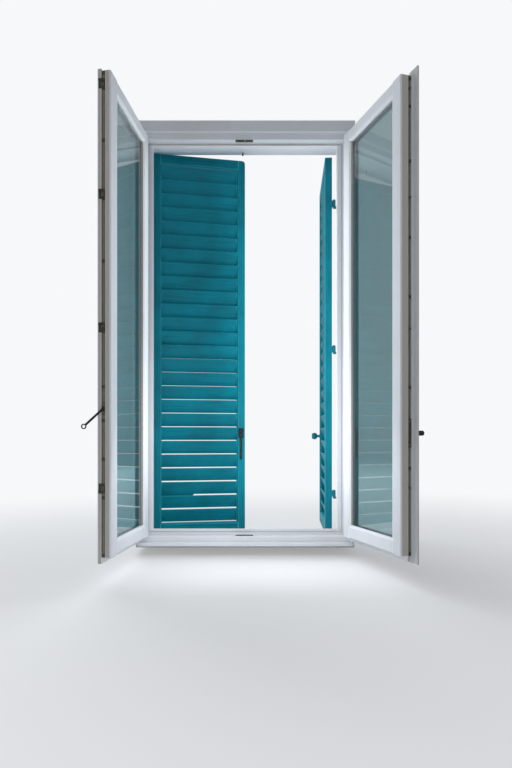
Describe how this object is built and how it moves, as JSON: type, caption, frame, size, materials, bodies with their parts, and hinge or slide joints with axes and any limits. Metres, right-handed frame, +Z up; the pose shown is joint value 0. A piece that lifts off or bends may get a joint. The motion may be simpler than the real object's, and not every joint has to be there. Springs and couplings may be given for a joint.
{
  "type": "casement window with louvred shutters",
  "caption": "White painted timber casement window with inward opening glazed leaves, edge bolts and a handle, and teal louvred shutters hung outside.",
  "frame": {"origin": "middle of the underside of the fixed frame, at half its depth", "axes": "+Z up, +Y outdoors, +X to the right seen from the room"},
  "size_m": [1.4507, 1.4411, 2.2457],
  "materials": {
    "white_paint": "satin white paint",
    "sill_paint": "weathered pale paint",
    "shutter_paint": "worn semi-gloss teal paint",
    "shutter_iron": "teal paint over iron",
    "hinge_paint": "white paint",
    "edge_gear": "dull bronze coating",
    "black_steel": "black coating",
    "dark_metal": "dark bronze coating",
    "latch_metal": "worn dark paint",
    "glass": "clear",
    "spacer": "satin",
    "seal": "matt pale"
  },
  "bodies": {
    "frame": {"frame_jamb_left": "white_paint", "frame_jamb_right": "white_paint", "frame_head": "white_paint", "frame_bottom_rail": "white_paint", "frame_seal": "seal", "frame_strikes": "edge_gear", "head_casing": "white_paint", "bottom_trim": "white_paint", "lining_left": "white_paint", "lining_right": "white_paint", "lining_head": "white_paint", "outer_sill": "sill_paint", "rain_bar": "white_paint", "shutter_stop_pin": "shutter_iron", "frame_hinge_halves": "hinge_paint", "shutter_pintles": "shutter_iron"},
    "left_sash": {"left_sash_stile_hinge": "white_paint", "left_sash_stile_meeting": "white_paint", "left_sash_rail_top": "white_paint", "left_sash_rail_bottom": "white_paint", "left_sash_glass": "glass", "left_sash_spacer": "spacer", "left_sash_beads": "white_paint", "left_sash_hinge_halves": "hinge_paint", "left_sash_edge_plate": "edge_gear", "left_sash_edge_keeps": "edge_gear"},
    "flip_lever": {"left_sash_flip_lever": "black_steel"},
    "shoot_bolt_top": {"left_sash_shoot_bolt_top": "edge_gear"},
    "shoot_bolt_bottom": {"left_sash_shoot_bolt_bottom": "edge_gear"},
    "right_sash": {"right_sash_stile_hinge": "white_paint", "right_sash_stile_meeting": "white_paint", "right_sash_rail_top": "white_paint", "right_sash_rail_bottom": "white_paint", "right_sash_glass": "glass", "right_sash_spacer": "spacer", "right_sash_beads": "white_paint", "right_sash_hinge_halves": "hinge_paint", "right_sash_edge_plate": "edge_gear", "right_sash_astragal": "white_paint", "right_sash_handle_rose": "dark_metal"},
    "handle": {"right_sash_handle": "dark_metal"},
    "lock_rod_top": {"right_sash_lock_rod_top": "edge_gear"},
    "lock_rod_bottom": {"right_sash_lock_rod_bottom": "edge_gear"},
    "left_shutter": {"left_shutter_stile_hinge": "shutter_paint", "left_shutter_stile_meeting": "shutter_paint", "left_shutter_rail_top": "shutter_paint", "left_shutter_rail_bottom": "shutter_paint", "left_shutter_slats": "shutter_paint", "left_shutter_straps": "shutter_iron", "left_shutter_latch_plate": "latch_metal"},
    "latch_bar": {"left_shutter_latch_bar": "latch_metal"},
    "right_shutter": {"right_shutter_stile_hinge": "shutter_paint", "right_shutter_stile_meeting": "shutter_paint", "right_shutter_rail_top": "shutter_paint", "right_shutter_rail_bottom": "shutter_paint", "right_shutter_slats": "shutter_paint", "right_shutter_straps": "shutter_iron", "right_shutter_knob": "shutter_paint"}
  },
  "joints": [
    {"name": "left_sash_hinge", "type": "hinge", "parent": "frame", "child": "left_sash", "pos_m": [-0.538, -0.046, 1.07], "axis": [0, 0, 1], "range_deg": [-21.5, 98.5]},
    {"name": "flip_lever_pivot", "type": "hinge", "parent": "left_sash", "child": "flip_lever", "pos_m": [-0.59937, -0.58687, 0.67404], "axis": [-0.1478, -0.989, 0], "range_deg": [0, 49]},
    {"name": "shoot_bolt_top_slide", "type": "slide", "parent": "left_sash", "child": "shoot_bolt_top", "axis": [0, 0, 1], "range_m": [0, 0.016]},
    {"name": "shoot_bolt_bottom_slide", "type": "slide", "parent": "left_sash", "child": "shoot_bolt_bottom", "axis": [0, 0, -1], "range_m": [0, 0.016]},
    {"name": "right_sash_hinge", "type": "hinge", "parent": "frame", "child": "right_sash", "pos_m": [0.538, -0.046, 1.07], "axis": [0, 0, 1], "range_deg": [-107, 13]},
    {"name": "handle_spindle", "type": "hinge", "parent": "right_sash", "child": "handle", "pos_m": [0.71992, -0.52473, 0.573], "axis": [-0.9563, -0.2924, 0], "range_deg": [0, 90]},
    {"name": "lock_rod_top_slide", "type": "slide", "parent": "right_sash", "child": "lock_rod_top", "axis": [0, 0, 1], "range_m": [0, 0.014]},
    {"name": "lock_rod_bottom_slide", "type": "slide", "parent": "right_sash", "child": "lock_rod_bottom", "axis": [0, 0, -1], "range_m": [0, 0.014]},
    {"name": "left_shutter_hinge", "type": "hinge", "parent": "frame", "child": "left_shutter", "pos_m": [-0.519, 0.327, 1.06], "axis": [0, 0, 1], "range_deg": [-10, 170]},
    {"name": "latch_bar_pivot", "type": "hinge", "parent": "left_shutter", "child": "latch_bar", "pos_m": [-0.01751, 0.35653, 0.58], "axis": [0.1736, -0.9848, 0], "range_deg": [0, 120]},
    {"name": "right_shutter_hinge", "type": "hinge", "parent": "frame", "child": "right_shutter", "pos_m": [0.519, 0.327, 1.06], "axis": [0, 0, 1], "range_deg": [-85, 95]}
  ],
  "couplings": [
    {"joint": "shoot_bolt_top_slide", "follows": "flip_lever_pivot", "m_per_rad": 0.0187},
    {"joint": "shoot_bolt_bottom_slide", "follows": "flip_lever_pivot", "m_per_rad": 0.0187},
    {"joint": "lock_rod_top_slide", "follows": "handle_spindle", "m_per_rad": 0.0089},
    {"joint": "lock_rod_bottom_slide", "follows": "handle_spindle", "m_per_rad": 0.0089}
  ]
}
